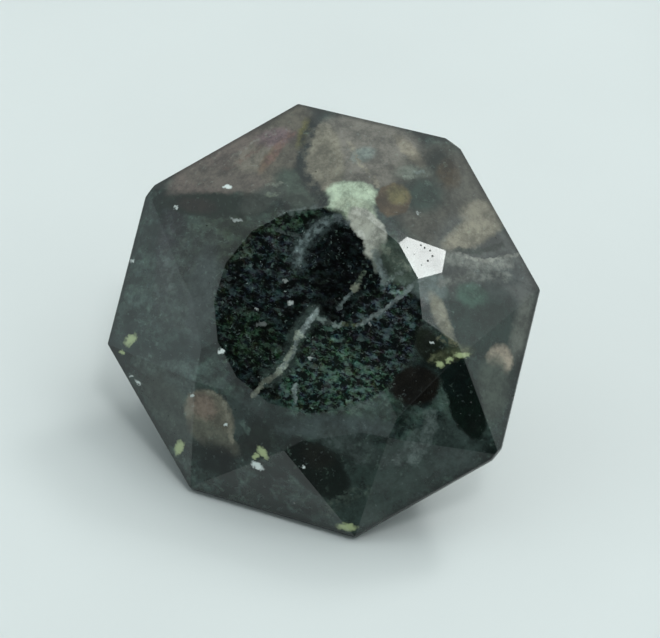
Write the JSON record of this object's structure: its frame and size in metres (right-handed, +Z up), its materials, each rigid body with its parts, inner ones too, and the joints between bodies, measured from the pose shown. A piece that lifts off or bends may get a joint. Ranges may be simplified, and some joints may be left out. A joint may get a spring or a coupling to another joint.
{
  "type": "faceted glaucophane stone",
  "caption": "Cut and polished octagonal stone of dark, veined glaucophane rock with a round table, lying tipped on one facet of its pavilion.",
  "frame": {"origin": "on the surface that the stone rests on, under the middle of the stone's bounding box", "axes": "+Z up from the resting facet; the table faces forwards and up, towards -Y and +Z; +X along the girdle edge of the resting facet, to the right as seen facing the table"},
  "size_m": [0.0124, 0.0092, 0.0083],
  "materials": {
    "polished_glaucophane": "polished"
  },
  "bodies": {
    "root": {"faceted_stone": "polished_glaucophane"}
  },
  "joints": []
}
